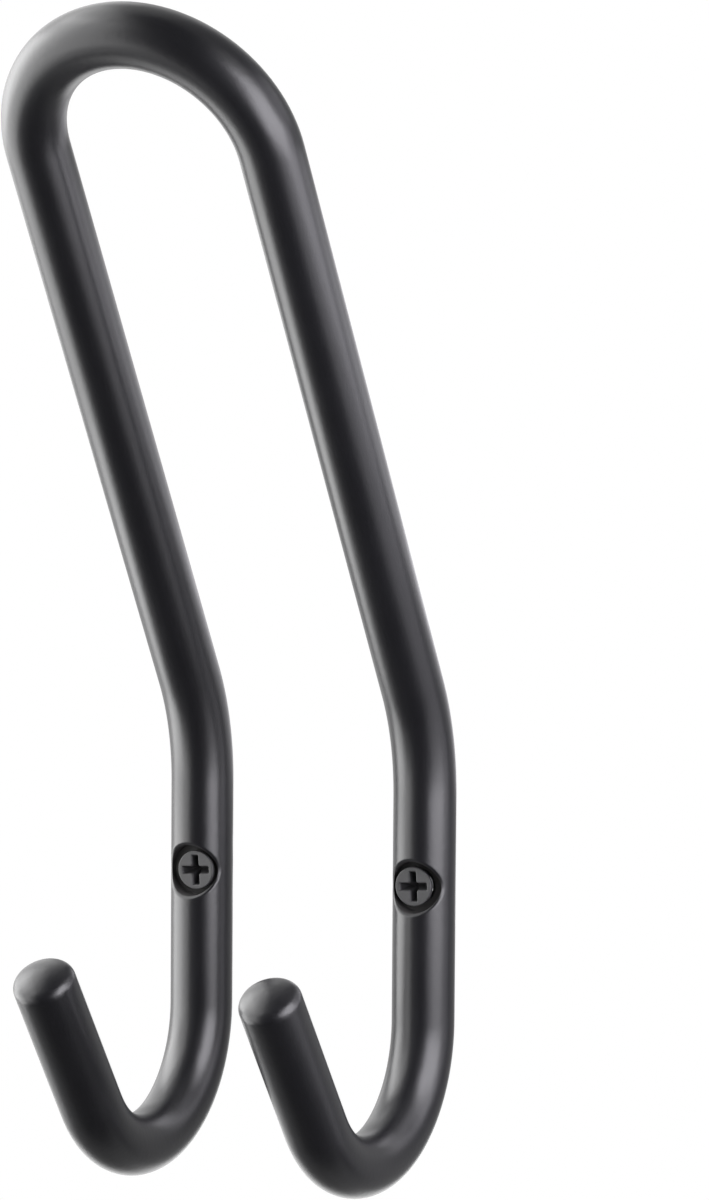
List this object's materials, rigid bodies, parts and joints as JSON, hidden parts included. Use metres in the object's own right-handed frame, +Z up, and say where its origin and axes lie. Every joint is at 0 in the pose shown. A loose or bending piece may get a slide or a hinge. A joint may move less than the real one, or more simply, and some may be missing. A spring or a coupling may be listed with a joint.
{
  "type": "wall coat hook",
  "caption": "Round steel bar bent into a tall loop that leans out from the wall, its legs lying flat for countersunk screws and curling forward below into coat hooks.",
  "frame": {"origin": "on the wall plane, halfway between the axes of the two wall screws", "axes": "+Z up along the wall, -Y out of the wall towards the room, +Y along the screws into the wall, +X from the left leg to the right one"},
  "size_m": [0.05, 0.0871, 0.1852],
  "materials": {
    "black_powder_coat": "satin",
    "black_screw_steel": "satin"
  },
  "bodies": {
    "root": {"hook_bar": "black_powder_coat", "wall_screws": "black_screw_steel"}
  },
  "joints": []
}
